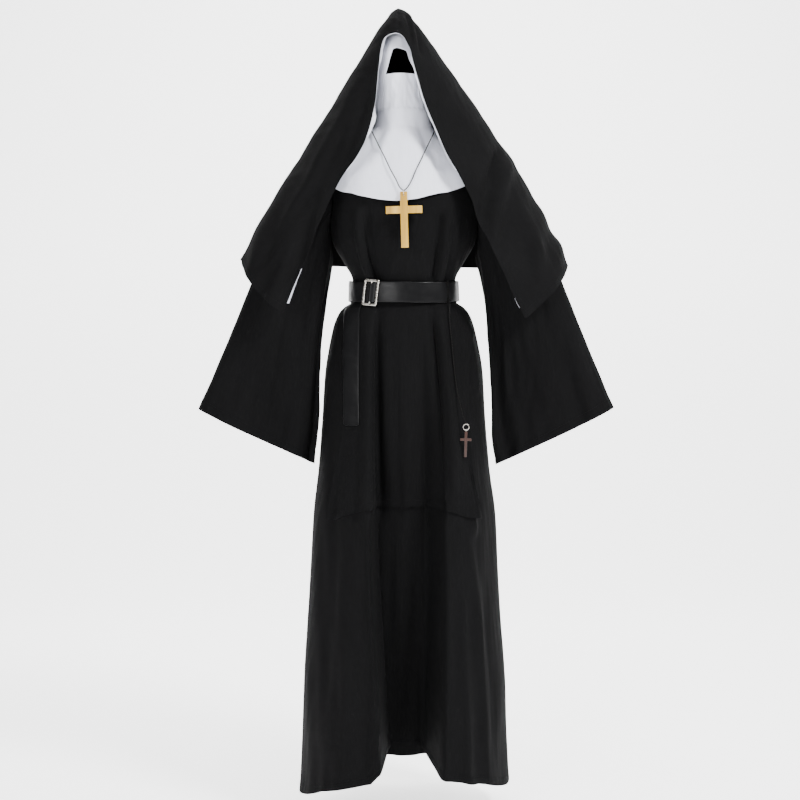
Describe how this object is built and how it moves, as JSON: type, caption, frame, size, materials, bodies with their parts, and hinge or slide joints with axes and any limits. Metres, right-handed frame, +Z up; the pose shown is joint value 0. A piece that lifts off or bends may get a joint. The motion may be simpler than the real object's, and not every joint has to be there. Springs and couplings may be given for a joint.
{
  "type": "nun costume",
  "caption": "Hollow black nun costume in its worn pose: long robe, bell sleeves, belted scapular, white bib and coif, peaked veil and hanging wooden crosses.",
  "frame": {"origin": "on the vertical axis through the neck, level with the tops of the shoulders, where the wearer carries the costume", "axes": "+Z up, the costume faces -Y, +X to the right of a viewer in front of it"},
  "size_m": [0.913, 0.4161, 1.7209],
  "materials": {
    "black_cloth": "matt woven polyester",
    "white_cloth": "matt white woven cloth",
    "belt_black": "semi-gloss imitation leather",
    "nickel": "pale nickel plate",
    "black_cord": "matt waxed cord",
    "pale_wood": "satin pale wood",
    "red_wood": "satin reddish brown wood"
  },
  "bodies": {
    "costume": {"robe_front": "black_cloth", "robe_back": "black_cloth", "sleeve_left": "black_cloth", "sleeve_right": "black_cloth", "scapular_front": "black_cloth", "scapular_back": "black_cloth", "veil": "black_cloth", "veil_facing": "white_cloth", "bib": "white_cloth", "coif_hood": "white_cloth", "coif_chin": "white_cloth", "belt": "belt_black", "belt_tail": "belt_black", "buckle": "nickel", "cord_loop": "black_cord", "cord_knot": "black_cord", "belt_cord": "black_cord", "necklace_cord": "black_cord"},
    "necklace_pendant": {"necklace_ring": "nickel", "necklace_cross": "pale_wood"},
    "belt_pendant": {"belt_ring": "nickel", "belt_cross_eye": "nickel", "belt_cross": "red_wood"}
  },
  "joints": [
    {"name": "necklace_cross_swing", "type": "hinge", "parent": "costume", "child": "necklace_pendant", "pos_m": [-0.0035, -0.1425, -0.1369], "axis": [-1, 0, 0], "range_deg": [0, 90]},
    {"name": "belt_cross_swing", "type": "hinge", "parent": "costume", "child": "belt_pendant", "pos_m": [0.1293, -0.1258, -0.6301], "axis": [-1, 0, 0], "range_deg": [0, 90]}
  ]
}
